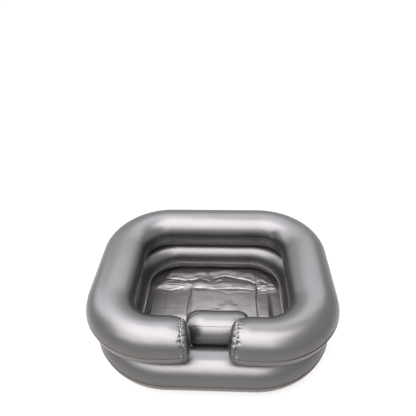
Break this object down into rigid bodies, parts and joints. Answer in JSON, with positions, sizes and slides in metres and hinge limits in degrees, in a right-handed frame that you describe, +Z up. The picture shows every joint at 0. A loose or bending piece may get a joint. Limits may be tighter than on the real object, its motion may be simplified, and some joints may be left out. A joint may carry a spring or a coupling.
{
  "type": "portable shampoo basin",
  "caption": "Inflatable hair-washing basin: closed lower ring, open upper ring with domed ends beside the neck, neck pillow, floor sheet with a stoppered drain, and push-in air valves.",
  "frame": {"origin": "on the surface that the basin stands on, under the middle of its outline", "axes": "+X along the longer side, +Y from the neck opening to the back, +Z up"},
  "size_m": [0.6156, 0.517, 0.2019],
  "materials": {
    "silver_film": "pearly silver-grey PVC film, satin to semi-gloss",
    "floor_sheet": "thin silver-grey PVC sheet, wrinkled",
    "fitting": "soft moulded PVC, grey"
  },
  "bodies": {
    "basin": {"upper_ring_top_film": "silver_film", "upper_ring_bottom_film": "silver_film", "upper_ring_left_end": "silver_film", "upper_ring_right_end": "silver_film", "lower_ring_top_film": "silver_film", "lower_ring_bottom_film": "silver_film", "neck_pillow_front_film": "silver_film", "neck_pillow_back_film": "silver_film", "basin_floor": "floor_sheet", "drain_flange": "fitting", "drain_outlet": "fitting", "drain_plug_strap": "fitting", "upper_valve_flange": "fitting", "upper_valve_well": "fitting", "lower_valve_flange": "fitting", "lower_valve_well": "fitting", "pillow_valve_flange": "fitting", "pillow_valve_well": "fitting"},
    "drain_stopper": {"drain_plug": "fitting"},
    "upper_valve_tube": {"upper_valve_stem": "fitting", "upper_valve_strap": "fitting"},
    "upper_valve_stopper": {"upper_valve_plug": "fitting"},
    "upper_valve_check": {"upper_valve_check_flap": "fitting"},
    "lower_valve_tube": {"lower_valve_stem": "fitting", "lower_valve_strap": "fitting"},
    "lower_valve_stopper": {"lower_valve_plug": "fitting"},
    "lower_valve_check": {"lower_valve_check_flap": "fitting"},
    "pillow_valve_tube": {"pillow_valve_stem": "fitting", "pillow_valve_strap": "fitting"},
    "pillow_valve_stopper": {"pillow_valve_plug": "fitting"},
    "pillow_valve_check": {"pillow_valve_check_flap": "fitting"}
  },
  "joints": [
    {"name": "drain_plug_lift", "type": "slide", "parent": "basin", "child": "drain_stopper", "axis": [0, 0, 1], "range_m": [0, 0.012], "deforming": ["drain_plug_strap"]},
    {"name": "upper_valve_pull_out", "type": "slide", "parent": "basin", "child": "upper_valve_tube", "axis": [0, 0.8456, 0.5339], "range_m": [0, 0.012], "deforming": ["upper_valve_well"]},
    {"name": "upper_valve_plug_pull", "type": "slide", "parent": "upper_valve_tube", "child": "upper_valve_stopper", "axis": [0, 0.8456, 0.5339], "range_m": [0, 0.009], "deforming": ["upper_valve_strap"]},
    {"name": "upper_valve_check_swing", "type": "hinge", "parent": "upper_valve_tube", "child": "upper_valve_check", "pos_m": [0.0658, 0.23495, 0.16925], "axis": [0, -0.5339, 0.8456], "range_deg": [0, 60]},
    {"name": "lower_valve_pull_out", "type": "slide", "parent": "basin", "child": "lower_valve_tube", "axis": [0, 0.8456, 0.5339], "range_m": [0, 0.012], "deforming": ["lower_valve_well"]},
    {"name": "lower_valve_plug_pull", "type": "slide", "parent": "lower_valve_tube", "child": "lower_valve_stopper", "axis": [0, 0.8456, 0.5339], "range_m": [0, 0.009], "deforming": ["lower_valve_strap"]},
    {"name": "lower_valve_check_swing", "type": "hinge", "parent": "lower_valve_tube", "child": "lower_valve_check", "pos_m": [-0.0554, 0.23528, 0.06796], "axis": [0, -0.5339, 0.8456], "range_deg": [0, 60]},
    {"name": "pillow_valve_pull_out", "type": "slide", "parent": "basin", "child": "pillow_valve_tube", "axis": [0, 0.8456, 0.5339], "range_m": [0, 0.012], "deforming": ["pillow_valve_well"]},
    {"name": "pillow_valve_plug_pull", "type": "slide", "parent": "pillow_valve_tube", "child": "pillow_valve_stopper", "axis": [0, 0.8456, 0.5339], "range_m": [0, 0.009], "deforming": ["pillow_valve_strap"]},
    {"name": "pillow_valve_check_swing", "type": "hinge", "parent": "pillow_valve_tube", "child": "pillow_valve_check", "pos_m": [0.0222, -0.10634, 0.11224], "axis": [0, -0.5339, 0.8456], "range_deg": [0, 60]}
  ]
}
